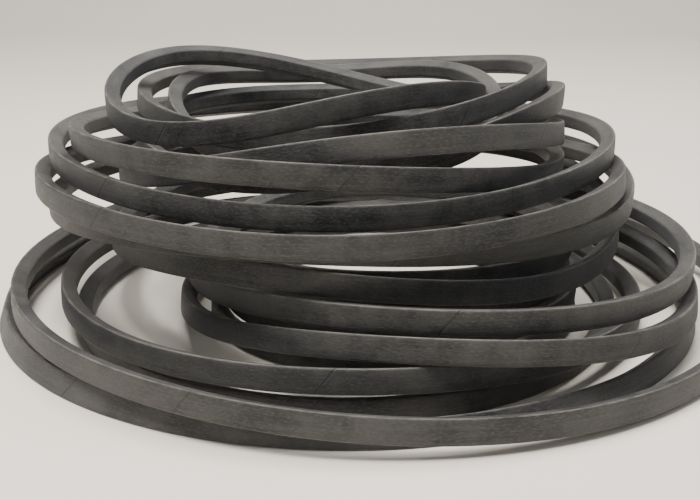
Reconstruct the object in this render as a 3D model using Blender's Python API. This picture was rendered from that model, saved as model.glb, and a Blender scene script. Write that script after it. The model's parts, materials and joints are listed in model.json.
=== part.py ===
"""A loose heap of wrapped V belts, each lying on the ones below it.

Every belt is three pieces swept along one loop: a fabric cover folded round the wedge with an open lap,
the flat layer of tension cords under the wide outer face, and the cushion rubber that fills the wedge.
Only the plan of each loop is chosen. Its height is found by laying it on the heap: the belt sinks until
the belts under it, or the floor, carry it.
"""

import math
from typing import NamedTuple

import bpy
import numpy as np

# Belt section, metres.
TOP_WIDTH = 0.017
THICKNESS = 0.011
WEDGE_ANGLE = math.radians(40)
FLANK = WEDGE_ANGLE / 2
COVER_WALL = 0.0010
LAP_GAP = 0.0005
CORD_LAYER = 0.0022
FIT = 0.0004  # between a piece and the next one inside the cover

# How the belts lie.
REST_GAP = 0.0003  # between a belt and what carries it
SPRING_BACK = (0.0, 0.05, 0.07, 0.3)
FACET = 0.0009  # how far a straight facet may cut inside the loop

# The map of the heap's top, metres.
MAP_CELL = 0.0005
MAP_HALF = 0.36
SAMPLE = 0.0004
SINK_ROUNDS = 400
SINK_STEP = 0.0006

COLLECTION = "v_belts"


class Loop(NamedTuple):
    """The plan of a belt's outer face, and how far its section is canted on the heap."""

    x: float
    y: float
    half_width: float
    half_depth: float
    lean_x: float = 0.0  # how far it climbs for each metre along +X
    lean_y: float = 0.0
    turn: float = 0.0  # degrees, of the oval about +Z
    bulge: float = 0.0  # metres, of the three-cornered wander of a belt left free
    bulge_at: float = 0.0  # degrees, where that wander is furthest out
    cant: float = 0.0  # degrees, positive with the outer edge up


FLAT_ON_FLANK = math.degrees(FLANK)

# From the floor up.
LOOPS = (
    Loop(-0.003, 0.008, 0.258, 0.254, cant=FLAT_ON_FLANK),
    Loop(0.020, 0.012, 0.271, 0.274, 0.02, 0.04, bulge=0.002, bulge_at=210, cant=2),
    Loop(0.030, -0.030, 0.134, 0.130, cant=2),
    Loop(0.034, -0.027, 0.130, 0.133, turn=15, cant=-3),
    Loop(0.028, -0.032, 0.131, 0.127, bulge=0.002, bulge_at=60, cant=3),
    Loop(0.032, -0.028, 0.127, 0.131, bulge=0.002, bulge_at=200, cant=-2),
    Loop(-0.004, -0.016, 0.197, 0.205, -0.01, 0.02, cant=-4),
    Loop(0.000, -0.008, 0.212, 0.218, -0.04, 0.02, bulge=0.002, bulge_at=210, cant=3),
    Loop(0.062, -0.036, 0.184, 0.186, 0.01, 0.04, bulge=0.002, bulge_at=300, cant=5),
    Loop(0.062, -0.022, 0.184, 0.188, 0.02, 0.06, bulge=0.002, bulge_at=20, cant=-3),
    Loop(0.010, 0.026, 0.195, 0.205, 0.03, 0.07, bulge=0.002, bulge_at=150, cant=2),
    Loop(-0.008, 0.040, 0.222, 0.222, -0.03, 0.00, bulge=0.002, bulge_at=330, cant=-2),
    Loop(-0.014, 0.012, 0.216, 0.208, -0.03, -0.02, bulge=0.002, bulge_at=190, cant=3),
    Loop(-0.016, 0.052, 0.216, 0.228, -0.03, 0.03, bulge=0.002, bulge_at=120),
    Loop(-0.026, 0.030, 0.184, 0.206, -0.06, -0.03, bulge=0.002, bulge_at=0, cant=-4),
    Loop(-0.008, 0.000, 0.162, 0.162, 0.01, -0.02, cant=4),
    Loop(-0.002, 0.022, 0.158, 0.150, 0.03, 0.02, bulge=0.002, bulge_at=210, cant=-3),
    Loop(-0.012, 0.052, 0.130, 0.140, 0.00, 0.03, cant=2),
    Loop(-0.008, 0.054, 0.156, 0.170, 0.01, 0.05, turn=20, bulge=0.002, bulge_at=150, cant=3),
    Loop(-0.040, 0.002, 0.136, 0.136, -0.04, 0.02, bulge=0.002, bulge_at=90, cant=-2),
)

FABRIC = ("rubberised_fabric", (0.030, 0.031, 0.033, 1.0), 0.62)
CORD = ("polyester_cord", (0.55, 0.50, 0.42, 1.0), 0.75)
RUBBER = ("cushion_rubber", (0.012, 0.012, 0.013, 1.0), 0.85)


def clear_scene():
    for thing in list(bpy.data.objects):
        bpy.data.objects.remove(thing)


def half_width_at(depth):
    """Half the wedge's width at this depth below the outer face."""
    return TOP_WIDTH / 2 - depth * math.tan(FLANK)


def half_room_at(depth):
    """Half the width inside the cover at this depth."""
    return half_width_at(depth) - COVER_WALL / math.cos(FLANK)


def wedge_section():
    """The belt's outside: points (out from the outer face, along the width)."""
    top = half_width_at(0)
    base = half_width_at(THICKNESS)
    return [(0, top), (0, -top), (-THICKNESS, -base), (-THICKNESS, base)]


def cover_section():
    """The wedge's fabric wall, open at one corner of the base where the lap closes it."""
    floor = THICKNESS - COVER_WALL
    lap = -half_room_at(THICKNESS)
    return [
        (0, half_width_at(0)),
        (0, -half_width_at(0)),
        (-THICKNESS, -half_width_at(THICKNESS)),
        (-THICKNESS, lap),
        (-COVER_WALL, -half_room_at(COVER_WALL)),
        (-COVER_WALL, half_room_at(COVER_WALL)),
        (-floor, half_room_at(floor)),
        (-floor, lap + LAP_GAP),
        (-THICKNESS, lap + LAP_GAP),
        (-THICKNESS, half_width_at(THICKNESS)),
    ]


def filling_section(start, end):
    """A filling between two depths, clear of the cover's flanks."""
    room = FIT / math.cos(FLANK)
    top = half_room_at(start) - room
    base = half_room_at(end) - room
    return [(-start, top), (-start, -top), (-end, -base), (-end, base)]


CORD_START = COVER_WALL + FIT
CUSHION_START = CORD_START + CORD_LAYER + FIT
CUSHION_END = THICKNESS - COVER_WALL - FIT
PIECES = (
    ("fabric_cover", cover_section(), FABRIC),
    ("tension_cords", filling_section(CORD_START, CORD_START + CORD_LAYER), CORD),
    ("cushion_rubber", filling_section(CUSHION_START, CUSHION_END), RUBBER),
)


def canted(section, cant):
    """The section turned about the middle of the outer face, as Blender's tilt turns it."""
    out, up = np.array(section, float).T
    level = math.cos(cant)
    raised = math.sin(cant)
    return np.stack([out * level - up * raised, out * raised + up * level], 1)


def facet_count(loop):
    largest = max(loop.half_width, loop.half_depth)
    return math.ceil(math.pi / math.acos(1 - FACET / largest))


def plan_points(loop):
    """The loop's corners in plan, anticlockwise."""
    angles = np.linspace(0, 2 * math.pi, facet_count(loop), endpoint=False)
    wander = loop.bulge * np.cos(3 * (angles - math.radians(loop.bulge_at)))
    along = (loop.half_width + wander) * np.cos(angles)
    across = (loop.half_depth + wander) * np.sin(angles)
    turn = math.radians(loop.turn)
    return np.stack(
        [
            loop.x + along * math.cos(turn) - across * math.sin(turn),
            loop.y + along * math.sin(turn) + across * math.cos(turn),
        ],
        1,
    )


def outward(points):
    """The unit vector out of the loop at each corner, halfway between its two sides."""
    side = np.roll(points, -1, 0) - points
    side /= np.linalg.norm(side, axis=1)[:, None]
    run = side + np.roll(side, 1, 0)
    run /= np.linalg.norm(run, axis=1)[:, None]
    return np.stack([run[:, 1], -run[:, 0]], 1)


def outline_samples(section):
    """Points close together round a closed section."""
    corners = np.array(section, float)
    following = np.roll(corners, -1, 0)
    stretches = []
    for start, end in zip(corners, following):
        steps = max(2, math.ceil(np.linalg.norm(end - start) / SAMPLE))
        share = np.arange(steps)[:, None] / steps
        stretches.append(start + (end - start) * share)
    return np.concatenate(stretches)


def between(corners, steps):
    """Values at the loop's corners, carried in straight lines to the samples between them."""
    share = (np.arange(steps) / steps).reshape((1, steps) + (1,) * (corners.ndim - 1))
    following = np.roll(corners, -1, 0)
    mixed = corners[:, None] * (1 - share) + following[:, None] * share
    return mixed.reshape((-1,) + corners.shape[1:])


class Heap:
    """The height of the heap's top over the floor, on a grid of square cells."""

    def __init__(self):
        cells = round(2 * MAP_HALF / MAP_CELL)
        self.top = np.full((cells, cells), -REST_GAP)

    def cell_of(self, places):
        return np.floor((places + MAP_HALF) / MAP_CELL).astype(int)

    def height_at(self, places):
        cell = self.cell_of(places)
        return self.top[cell[..., 0], cell[..., 1]]

    def add(self, places, heights):
        """Raises the map under a belt, one cell wider than the belt all round."""
        cell = self.cell_of(places)
        layer = np.full_like(self.top, -1.0)
        np.maximum.at(layer, (cell[..., 0], cell[..., 1]), heights)
        for axis in (0, 1):
            layer = np.maximum(layer, np.maximum(np.roll(layer, 1, axis), np.roll(layer, -1, axis)))
        self.top = np.maximum(self.top, layer)


def sprung(heights):
    """The heights a stiff belt keeps over its own lean: it tips and bends a little, and shorter waves go."""
    waves = np.fft.rfft(heights)
    waves[: len(SPRING_BACK)] *= 1 - np.array(SPRING_BACK)
    waves[len(SPRING_BACK) :] = 0
    return np.fft.irfft(waves, len(heights))


def settled(support):
    """The lowest stiff curve found over the support, sinking a little at a time."""
    heights = np.full_like(support, support.max())
    for _ in range(SINK_ROUNDS):
        heights = sprung(np.maximum(support, heights - SINK_STEP))
    return heights


def lay(loop, heap):
    """Lays one belt on the heap and returns its corners, (x, y, z) of the outer face's middle."""
    plan = plan_points(loop)
    section = canted(wedge_section(), math.radians(loop.cant))
    outline = outline_samples(section)
    longest = np.linalg.norm(np.roll(plan, -1, 0) - plan, axis=1).max()
    steps = math.ceil(longest / SAMPLE)
    corner_places = plan[:, None] + outward(plan)[:, None] * outline[None, :, :1]
    places = between(corner_places, steps)
    rise = outline[:, 1]
    support = (heap.height_at(places) - rise).max(1) + REST_GAP
    lean = plan @ (loop.lean_x, loop.lean_y)
    heights = lean + settled(support - between(lean, steps))[::steps]
    heights += (support - between(heights, steps)).max()
    heap.add(places, between(heights, steps)[:, None] + rise)
    return np.column_stack([plan, heights])


def lay_all():
    """Every belt's corners, with the heap's box centred over the origin."""
    heap = Heap()
    laid = [lay(loop, heap) for loop in LOOPS]
    edges = np.concatenate([laid_edges(loop, corners) for loop, corners in zip(LOOPS, laid)])
    middle = (edges.min(0) + edges.max(0)) / 2
    return [corners - (middle[0], middle[1], 0) for corners in laid]


def laid_edges(loop, corners):
    """The plan of the section's corners all round a laid belt."""
    out = canted(wedge_section(), math.radians(loop.cant))[:, 0]
    plan = corners[:, :2]
    return (plan[:, None] + outward(plan)[:, None] * out[None, :, None]).reshape(-1, 2)


def new_collection(name):
    made = bpy.data.collections.new(name)
    bpy.context.scene.collection.children.link(made)
    return made


def new_material(name, colour, roughness):
    material = bpy.data.materials.new(name)
    material.use_nodes = True
    shader = material.node_tree.nodes["Principled BSDF"]
    shader.inputs["Base Color"].default_value = colour
    shader.inputs["Roughness"].default_value = roughness
    shader.inputs["Metallic"].default_value = 0.0
    material.diffuse_color = colour
    return material


def closed_spline(curve, points):
    spline = curve.splines.new("POLY")
    spline.points.add(len(points) - 1)
    for point, place in zip(spline.points, points):
        point.co = (*place, 1)
    spline.use_cyclic_u = True
    return spline


def section_guide(name, section, guides):
    """The section as a flat closed curve. It runs clockwise, so that the swept faces point out."""
    curve = bpy.data.curves.new(name, "CURVE")
    curve.dimensions = "2D"
    closed_spline(curve, [(out, up, 0) for out, up in section])
    guide = bpy.data.objects.new(name, curve)
    guide.hide_render = True
    guide.display_type = "WIRE"
    guides.objects.link(guide)
    return guide


def sweep(name, guide, loop, corners, material, parts):
    """One piece of a belt: a section swept round the laid loop."""
    curve = bpy.data.curves.new(name, "CURVE")
    curve.dimensions = "3D"
    curve.twist_mode = "Z_UP"
    curve.bevel_mode = "OBJECT"
    curve.bevel_object = guide
    origin = corners.mean(0)
    spline = closed_spline(curve, corners - origin)
    for point in spline.points:
        point.tilt = -math.radians(loop.cant)
    curve.materials.append(material)
    piece = bpy.data.objects.new(name, curve)
    piece.location = origin
    parts.objects.link(piece)


def main():
    clear_scene()
    parts = new_collection(COLLECTION)
    guides = new_collection("section_guides")
    sections = {kind: section_guide(f"{kind}_section", section, guides) for kind, section, _ in PIECES}
    for number, (loop, corners) in enumerate(zip(LOOPS, lay_all()), 1):
        for kind, _, (finish, colour, roughness) in PIECES:
            name = f"belt_{number:02d}_{kind}"
            material = new_material(f"{name}_{finish}", colour, roughness)
            sweep(name, sections[kind], loop, corners, material, parts)


main()
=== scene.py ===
"""The look of a loose heap of wrapped V belts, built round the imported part."""

import json
import math

import bpy
import numpy as np
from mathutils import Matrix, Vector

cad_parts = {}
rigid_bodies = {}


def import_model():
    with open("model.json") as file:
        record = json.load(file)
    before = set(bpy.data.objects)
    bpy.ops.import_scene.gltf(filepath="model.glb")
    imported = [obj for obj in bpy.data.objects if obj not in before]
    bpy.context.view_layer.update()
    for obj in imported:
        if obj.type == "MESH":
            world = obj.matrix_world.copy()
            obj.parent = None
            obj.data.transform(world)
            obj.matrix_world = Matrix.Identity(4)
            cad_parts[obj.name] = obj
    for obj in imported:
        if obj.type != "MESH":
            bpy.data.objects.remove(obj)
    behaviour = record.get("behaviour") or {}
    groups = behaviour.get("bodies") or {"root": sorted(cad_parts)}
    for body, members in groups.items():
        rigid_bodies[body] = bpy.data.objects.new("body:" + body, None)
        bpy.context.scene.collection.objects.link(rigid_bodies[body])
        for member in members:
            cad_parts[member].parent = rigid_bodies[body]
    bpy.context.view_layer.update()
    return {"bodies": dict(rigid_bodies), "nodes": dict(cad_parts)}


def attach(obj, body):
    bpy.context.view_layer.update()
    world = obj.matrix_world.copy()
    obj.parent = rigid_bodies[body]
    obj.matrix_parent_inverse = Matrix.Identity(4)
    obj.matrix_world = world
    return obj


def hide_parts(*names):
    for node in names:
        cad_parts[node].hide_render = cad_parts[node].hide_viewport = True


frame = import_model()


# Belt section, metres, as the part has it.
TOP_WIDTH = 0.017
THICKNESS = 0.011
FLANK = math.radians(20)
OUTER_ROUND = 0.0011
BASE_ROUND = 0.0013
CROWN = 0.00025
CORD_DEPTH = 0.0014  # from the outer face to the outer face of the cords
STATIONS = 320
KINDS = ("fabric_cover", "tension_cords", "cushion_rubber")


# Shapes ---------------------------------------------------------------------------------------------


def stations_of(node):
    """The middle of the outer face, the way out and the way up, at each corner of a belt's loop."""
    mesh = node.data
    points = np.array([node.matrix_world @ vertex.co for vertex in mesh.vertices])
    points = np.unique(np.round(points, 6), axis=0)
    middle = (points.min(0) + points.max(0)) / 2
    angle = np.arctan2(points[:, 1] - middle[1], points[:, 0] - middle[0])
    points = points[np.argsort(angle)]
    groups = len(points) // 4
    shift = best_shift(np.sort(angle), groups)
    points = np.roll(points, -shift, 0).reshape(groups, 4, 3)
    ordered = np.array([section_corners(four) for four in points])
    low_out, high_out, low_in, high_in = ordered.transpose(1, 0, 2)
    up = high_out - low_out
    up /= np.linalg.norm(up, axis=1)[:, None]
    out = (low_out + high_out - low_in - high_in) / 2
    out -= (out * up).sum(1)[:, None] * up
    out /= np.linalg.norm(out, axis=1)[:, None]
    return (low_out + high_out) / 2 + out * CORD_DEPTH, out, up


def section_corners(four):
    """Low outer, high outer, low inner and high inner corner of a cord layer, however far it is canted.

    Its short sides join the two corners at each edge, and its outer side is the longest of all.
    """
    apart = np.linalg.norm(four[:, None] - four[None], axis=2)
    partner = np.argmin(apart + np.eye(4), axis=1)
    first, second = np.unravel_index(np.argmax(apart), apart.shape)
    low, high = sorted((first, second), key=lambda index: four[[index, partner[index]], 2].mean())
    return four[[low, high, partner[low], partner[high]]]


def best_shift(angle, groups):
    """How many points to step over so that each run of four is one station."""
    spread = []
    for shift in range(4):
        turned = np.roll(angle, -shift)
        turned[len(turned) - shift :] += 2 * math.pi
        runs = turned.reshape(groups, 4)
        spread.append((runs.max(1) - runs.min(1)).max())
    return int(np.argmin(spread))


def smoothed(values, count):
    """A closed run of values carried on to more stations by its waves."""
    waves = np.fft.rfft(values, axis=0)
    if len(values) % 2 == 0:
        waves[-1] *= 0.5
    return np.fft.irfft(waves, count, axis=0) * (count / len(values))


def unit(vectors):
    return vectors / np.linalg.norm(vectors, axis=1)[:, None]


def half_width_at(depth):
    return TOP_WIDTH / 2 - depth * math.tan(FLANK)


def rounded(corners, radii, steps):
    """A closed outline with each corner turned on its own radius."""
    corners = np.array(corners, float)
    outline = []
    for index, (corner, radius) in enumerate(zip(corners, radii)):
        before = corners[index - 1] - corner
        after = corners[(index + 1) % len(corners)] - corner
        before /= np.linalg.norm(before)
        after /= np.linalg.norm(after)
        half = math.acos(np.clip(before @ after, -1, 1)) / 2
        reach = radius / math.tan(half)
        middle = corner + (before + after) / np.linalg.norm(before + after) * radius / math.sin(half)
        start = corner + before * reach - middle
        end = corner + after * reach - middle
        turn = math.acos(np.clip(start @ end / radius**2, -1, 1))
        for share in np.linspace(0, 1, steps):
            way = (math.sin((1 - share) * turn) * start + math.sin(share * turn) * end) / math.sin(turn)
            outline.append(middle + way)
    return np.array(outline)


def subdivided(outline, longest):
    """The outline with its long sides cut up, so that they can be crowned."""
    points = []
    for start, end in zip(outline, np.roll(outline, -1, 0)):
        parts = max(1, math.ceil(np.linalg.norm(end - start) / longest))
        points += [start + (end - start) * k / parts for k in range(parts)]
    return np.array(points)


def jacket_outline():
    """The outside of the belt: a soft-cornered wedge whose faces swell a little."""
    top = half_width_at(0)
    base = half_width_at(THICKNESS)
    corners = [(0, top), (0, -top), (-THICKNESS, -base), (-THICKNESS, base)]
    outline = subdivided(rounded(corners, (OUTER_ROUND, OUTER_ROUND, BASE_ROUND, BASE_ROUND), 6), 0.0018)
    swell = CROWN * (1 - (outline[:, 1] / top) ** 2)
    outline[:, 0] += np.where(outline[:, 0] > -OUTER_ROUND / 2, -CROWN + swell, 0)
    outline[:, 0] += np.where(outline[:, 0] < -THICKNESS + BASE_ROUND / 2, CROWN * 0.7, 0)
    return outline


def filling_outline(start, end, inset):
    top = half_width_at(start) - inset
    base = half_width_at(end) - inset
    return rounded([(-start, top), (-start, -top), (-end, -base), (-end, base)], (0.0004,) * 4, 3)


OUTLINES = {
    "fabric_cover": jacket_outline(),
    "tension_cords": filling_outline(0.0016, 0.0034, 0.0018),
    "cushion_rubber": filling_outline(0.0042, 0.0094, 0.0019),
}


def swept(name, outline, path, out, up, material):
    """A closed tube of this outline round the path, with its length and girth in metres as UVs."""
    count, girth = len(path), len(outline)
    rings = path[:, None] + out[:, None] * outline[None, :, :1] + up[:, None] * outline[None, :, 1:]
    along = np.concatenate([[0], np.linalg.norm(np.roll(path, -1, 0) - path, axis=1).cumsum()])
    around = np.concatenate([[0], np.linalg.norm(np.roll(outline, -1, 0) - outline, axis=1).cumsum()])
    mesh = bpy.data.meshes.new(name)
    faces = []
    uvs = []
    for i in range(count):
        for j in range(girth):
            after, beside = (i + 1) % count, (j + 1) % girth
            faces.append((i * girth + j, i * girth + beside, after * girth + beside, after * girth + j))
            uvs += [(along[i], around[j]), (along[i], around[j + 1])]
            uvs += [(along[i + 1], around[j + 1]), (along[i + 1], around[j])]
    mesh.from_pydata(rings.reshape(-1, 3).tolist(), [], faces)
    layer = mesh.uv_layers.new(name="UVMap")
    layer.data.foreach_set("uv", np.array(uvs, float).ravel())
    mesh.polygons.foreach_set("use_smooth", [True] * len(faces))
    side = mesh.attributes.new("across", "FLOAT", "POINT")
    side.data.foreach_set("value", np.tile(outline[:, 1] / (TOP_WIDTH / 2), count))
    depth = mesh.attributes.new("depth", "FLOAT", "POINT")
    depth.data.foreach_set("value", np.tile(-outline[:, 0] / THICKNESS, count))
    mesh.materials.append(material)
    mesh.update()
    piece = bpy.data.objects.new(name, mesh)
    bpy.context.scene.collection.objects.link(piece)
    return piece


def is_inside_out(mesh):
    mesh.calc_loop_triangles()
    volume = 0
    for triangle in mesh.loop_triangles:
        a, b, c = (mesh.vertices[k].co for k in triangle.vertices)
        volume += a.dot(b.cross(c))
    return volume < 0


# Materials ------------------------------------------------------------------------------------------


class Nodes:
    """Short calls for laying out a material."""

    def __init__(self, name):
        self.material = bpy.data.materials.new(name)
        self.material.use_nodes = True
        self.tree = self.material.node_tree
        self.shader = self.tree.nodes["Principled BSDF"]

    def add(self, kind, inputs=(), **settings):
        node = self.tree.nodes.new(kind)
        for key, value in settings.items():
            setattr(node, key, value)
        for socket, value in dict(inputs).items():
            self.put(node.inputs[socket], value)
        return node

    def put(self, socket, value):
        if isinstance(value, bpy.types.NodeSocket):
            self.tree.links.new(value, socket)
        else:
            socket.default_value = value

    def maths(self, operation, first, second=0.0, third=0.0):
        node = self.add("ShaderNodeMath", operation=operation)
        for socket, value in zip(node.inputs, (first, second, third)):
            self.put(socket, value)
        return node.outputs[0]

    def noise(self, where, scale, detail=3.0, roughness=0.55):
        inputs = {"Vector": where, "Scale": scale, "Detail": detail, "Roughness": roughness}
        return self.add("ShaderNodeTexNoise", inputs).outputs["Fac"]

    def spread(self, value, low, high, start=0.0, end=1.0):
        inputs = {"Value": value, "From Min": low, "From Max": high, "To Min": start, "To Max": end}
        return self.add("ShaderNodeMapRange", inputs).outputs["Result"]

    def mix(self, share, first, second):
        node = self.add("ShaderNodeMix", data_type="RGBA")
        self.put(node.inputs["Factor"], share)
        self.put(node.inputs[6], first)
        self.put(node.inputs[7], second)
        return node.outputs[2]

    def mapped(self, vector, scale, turn=0.0, shift=(0.0, 0.0, 0.0)):
        inputs = {"Vector": vector, "Scale": scale, "Rotation": (0, 0, turn), "Location": shift}
        return self.add("ShaderNodeMapping", inputs).outputs["Vector"]

    def attribute(self, name):
        return self.add("ShaderNodeAttribute", attribute_name=name).outputs["Fac"]


WEAVE_PITCH = 0.00088


def weave(nodes, uv):
    """Height of a plain weave laid on the bias, 0 to 1."""
    across = nodes.mapped(uv, (1 / WEAVE_PITCH,) * 3, turn=math.radians(45))
    parts = nodes.add("ShaderNodeSeparateXYZ", {"Vector": across})
    warp = nodes.maths("SINE", nodes.maths("MULTIPLY", parts.outputs["X"], 2 * math.pi))
    weft = nodes.maths("SINE", nodes.maths("MULTIPLY", parts.outputs["Y"], 2 * math.pi))
    over = nodes.maths("MULTIPLY", warp, weft)
    return nodes.maths("MULTIPLY_ADD", over, 0.5, 0.5)


def fabric(number):
    """Rubberised jacket cloth: black, with weave, painted shade in the weave valleys, dust and painted highlight on the
    weave crests, scuffed corners and a few lap seams.
    """
    nodes = Nodes(f"jacket_{number:02d}")
    chance = np.random.default_rng(100 + number)
    uv = nodes.add("ShaderNodeUVMap", uv_map="UVMap").outputs["UV"]
    place = nodes.mapped(nodes.add("ShaderNodeTexCoord").outputs["Object"], (1, 1, 1), shift=(number * 0.7, 0, 0))
    side = nodes.maths("ABSOLUTE", nodes.attribute("across"))
    depth = nodes.attribute("depth")
    cloth = weave(nodes, uv)

    patches = nodes.noise(place, 14.0, 4.0)
    mottle = nodes.noise(place, 75.0, 5.0, 0.65)
    specks = nodes.noise(place, 900.0, 2.0)
    streaks = nodes.noise(nodes.mapped(uv, (16, 420, 1)), 1.0, 3.0, 0.6)
    slubs = nodes.noise(nodes.mapped(uv, (330, 950, 1), turn=math.radians(45)), 1.0, 3.0, 0.6)
    rubs = nodes.noise(nodes.mapped(uv, (60, 160, 1), turn=0.5), 1.0, 4.0, 0.7)

    tone = 0.9 + 0.2 * chance.random()
    dark = (0.009 * tone, 0.0100 * tone, 0.0125 * tone, 1)
    light = (0.062 * tone, 0.061 * tone, 0.059 * tone, 1)
    beige = (0.235, 0.212, 0.178, 1)
    blend = nodes.maths("MULTIPLY_ADD", mottle, 0.55, nodes.maths("MULTIPLY", patches, 0.5))
    colour = nodes.mix(nodes.spread(blend, 0.42, 0.64), dark, light)
    colour = nodes.mix(nodes.maths("MULTIPLY", nodes.spread(streaks, 0.45, 0.8), 0.40), colour, (0.100, 0.097, 0.090, 1))

    colour = nodes.mix(nodes.maths("MULTIPLY", nodes.spread(slubs, 0.50, 0.72), 0.50), colour, (0.120, 0.116, 0.106, 1))
    edge = nodes.spread(side, 0.86, 0.965)
    outer = nodes.spread(depth, 0.22, 0.05)
    corner = nodes.maths("MULTIPLY", edge, outer)
    worn = nodes.maths("MULTIPLY", corner, nodes.spread(rubs, 0.38, 0.62))
    colour = nodes.mix(nodes.maths("MULTIPLY", worn, 0.85), colour, beige)

    # Painted shade: the weave valleys are darkened towards black, standing in for the shade in the recesses of the
    # cloth.
    weave_valley_painted_shade = nodes.maths("MULTIPLY", nodes.spread(cloth, 0.5, 0.1), nodes.spread(mottle, 0.3, 0.6))
    colour = nodes.mix(nodes.maths("MULTIPLY", weave_valley_painted_shade, 0.55), colour, (0.010, 0.010, 0.012, 1))
    # Dust and painted highlight: the weave crests are lightened towards grey-beige in patches, partly dust and partly a
    # painted highlight on the raised threads.
    crest = nodes.spread(cloth, 0.55, 1.0)
    dust_and_crest_highlight = nodes.maths("MULTIPLY", crest, nodes.spread(patches, 0.42, 0.66))
    colour = nodes.mix(nodes.maths("MULTIPLY", dust_and_crest_highlight, 0.42), colour, (0.150, 0.142, 0.126, 1))
    lint = nodes.spread(specks, 0.755, 0.80)
    colour = nodes.mix(nodes.maths("MULTIPLY", lint, 0.55), colour, (0.42, 0.40, 0.36, 1))

    along = nodes.add("ShaderNodeSeparateXYZ", {"Vector": uv})
    seam_place = 0.12 + 0.3 * chance.random()
    slope = nodes.maths("MULTIPLY_ADD", along.outputs["Y"], 0.75, along.outputs["X"])
    away = nodes.maths("ABSOLUTE", nodes.maths("SUBTRACT", nodes.maths("MODULO", slope, 0.62), seam_place))
    seam = nodes.spread(away, 0.0009, 0.0002)
    colour = nodes.mix(nodes.maths("MULTIPLY", seam, 0.6), colour, (0.014, 0.014, 0.016, 1))
    nodes.put(nodes.shader.inputs["Base Color"], colour)

    rough = nodes.spread(mottle, 0.3, 0.7, 0.40, 0.62)
    rough = nodes.maths("ADD", rough, nodes.maths("MULTIPLY", dust_and_crest_highlight, 0.12))
    rough = nodes.maths("SUBTRACT", rough, nodes.maths("MULTIPLY", worn, 0.06))
    nodes.put(nodes.shader.inputs["Roughness"], rough)

    height = nodes.maths("MULTIPLY", cloth, 0.00016)
    height = nodes.maths("MULTIPLY_ADD", mottle, 0.00045, height)
    height = nodes.maths("MULTIPLY_ADD", slubs, 0.00040, height)
    height = nodes.maths("MULTIPLY_ADD", seam, -0.00030, height)
    bump = nodes.add("ShaderNodeBump", {"Height": height, "Distance": 1.0, "Strength": 0.85})
    nodes.put(nodes.shader.inputs["Normal"], bump.outputs["Normal"])
    nodes.shader.inputs["Sheen Weight"].default_value = 0.06
    nodes.shader.inputs["Sheen Roughness"].default_value = 0.45
    nodes.shader.inputs["Sheen Tint"].default_value = (0.92, 0.93, 1.0, 1)
    nodes.shader.inputs["Specular IOR Level"].default_value = 0.42
    return nodes.material


def cord():
    """Twisted polyester cords laid side by side."""
    nodes = Nodes("tension_cord")
    uv = nodes.add("ShaderNodeUVMap", uv_map="UVMap").outputs["UV"]
    ridges = nodes.add("ShaderNodeTexWave", {"Vector": uv, "Scale": 160.0, "Distortion": 0.4}, bands_direction="Y")
    tint = nodes.mix(ridges.outputs["Fac"], (0.30, 0.26, 0.20, 1), (0.58, 0.53, 0.44, 1))
    nodes.put(nodes.shader.inputs["Base Color"], tint)
    nodes.put(nodes.shader.inputs["Roughness"], nodes.spread(ridges.outputs["Fac"], 0, 1, 0.85, 0.68))
    return nodes.material


def cushion():
    """Plain black cushion rubber."""
    nodes = Nodes("cushion_rubber")
    place = nodes.add("ShaderNodeTexCoord").outputs["Object"]
    grain = nodes.noise(place, 220.0)
    nodes.put(nodes.shader.inputs["Base Color"], nodes.mix(grain, (0.010, 0.010, 0.011, 1), (0.020, 0.020, 0.021, 1)))
    nodes.put(nodes.shader.inputs["Roughness"], nodes.spread(grain, 0.3, 0.7, 0.75, 0.9))
    return nodes.material


# The heap -------------------------------------------------------------------------------------------

inner = {"tension_cords": cord(), "cushion_rubber": cushion()}
belts = sorted(frame["bodies"])
for number, belt in enumerate(belts, 1):
    path, out, up = stations_of(frame["nodes"][f"{belt}_tension_cords"])
    path = smoothed(path, STATIONS)
    up = unit(smoothed(up, STATIONS))
    out = smoothed(out, STATIONS)
    out = unit(out - (out * up).sum(1)[:, None] * up)
    for kind in KINDS:
        material = fabric(number) if kind == "fabric_cover" else inner[kind]
        piece = swept(f"{belt}_{kind}_look", OUTLINES[kind], path, out, up, material)
        if is_inside_out(piece.data):
            piece.data.flip_normals()
        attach(piece, belt)
        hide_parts(f"{belt}_{kind}")


# Room, light and camera -----------------------------------------------------------------------------


def floor_material():
    nodes = Nodes("pale_floor")
    place = nodes.add("ShaderNodeTexCoord").outputs["Object"]
    cloudy = nodes.noise(place, 1.3, 3.0)
    fine = nodes.noise(place, 300.0, 2.0)
    pale = nodes.mix(nodes.spread(cloudy, 0.3, 0.7), (0.735, 0.690, 0.620, 1), (0.780, 0.735, 0.665, 1))
    nodes.put(nodes.shader.inputs["Base Color"], pale)
    nodes.put(nodes.shader.inputs["Roughness"], nodes.spread(fine, 0.3, 0.7, 0.62, 0.74))
    nodes.shader.inputs["Specular IOR Level"].default_value = 0.25
    return nodes.material


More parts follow.
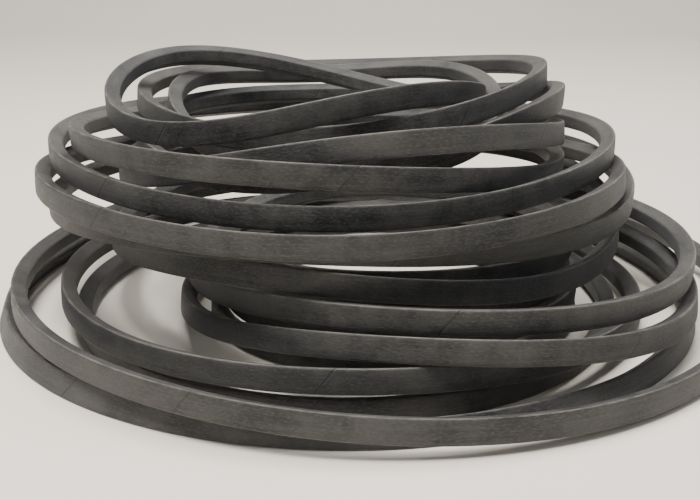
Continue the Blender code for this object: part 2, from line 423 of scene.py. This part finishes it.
def backdrop():
    """A sheet that runs back along the floor and curves up behind."""
    rise, radius, half, near, back = 2.6, 1.2, 4.0, -3.0, 1.9
    profile = [(near, 0.0)]
    for step in range(25):
        angle = math.pi / 2 * step / 24
        profile.append((back + radius * math.sin(angle), radius * (1 - math.cos(angle))))
    profile.append((back + radius, rise))
    vertices = [(side * half, y, z - 0.0002) for y, z in profile for side in (-1, 1)]
    faces = [(2 * k, 2 * k + 1, 2 * k + 3, 2 * k + 2) for k in range(len(profile) - 1)]
    mesh = bpy.data.meshes.new("backdrop")
    mesh.from_pydata(vertices, [], faces)
    mesh.polygons.foreach_set("use_smooth", [True] * len(faces))
    mesh.materials.append(floor_material())
    sheet = bpy.data.objects.new("backdrop", mesh)
    bpy.context.scene.collection.objects.link(sheet)


def area_light(name, place, aim, size, power, colour):
    lamp = bpy.data.lights.new(name, "AREA")
    lamp.shape = "RECTANGLE"
    lamp.size, lamp.size_y = size
    lamp.energy = power
    lamp.color = colour
    light = bpy.data.objects.new(name, lamp)
    light.location = place
    way = np.array(aim) - np.array(place)
    light.rotation_mode = "QUATERNION"
    light.rotation_quaternion = Vector(way.tolist()).to_track_quat("-Z", "Y")
    bpy.context.scene.collection.objects.link(light)


backdrop()
area_light("soft_key", (-0.35, -0.45, 1.9), (0, 0, 0), (0.9, 0.7), 66, (1.0, 0.965, 0.91))
area_light("front_fill", (-0.3, -1.9, 1.1), (0, 0, 0.05), (1.6, 0.8), 5, (1.0, 0.97, 0.93))
area_light("top_wash", (0.2, 0.5, 2.3), (0, 0.1, 0), (1.4, 1.2), 40, (1.0, 0.97, 0.92))
area_light("side_fill", (1.7, 0.2, 1.1), (0, 0, 0.05), (1.0, 1.0), 7, (0.93, 0.96, 1.0))
area_light("back_wash", (0, 1.0, 2.4), (0, 2.6, 0.6), (2.4, 0.8), 34, (1.0, 0.97, 0.93))

world = bpy.data.worlds.new("studio")
world.use_nodes = True
world.node_tree.nodes["Background"].inputs["Color"].default_value = (0.92, 0.95, 1.0, 1)
world.node_tree.nodes["Background"].inputs["Strength"].default_value = 0.22
bpy.context.scene.world = world

camera = bpy.data.objects.new("camera", bpy.data.cameras.new("camera"))
camera.data.sensor_width = 36
camera.data.lens = 51.43
camera.location = (-0.015, -0.746, 0.270)
camera.rotation_euler = (math.radians(90 - 17.8), 0, 0)
bpy.context.scene.collection.objects.link(camera)
bpy.context.scene.camera = camera
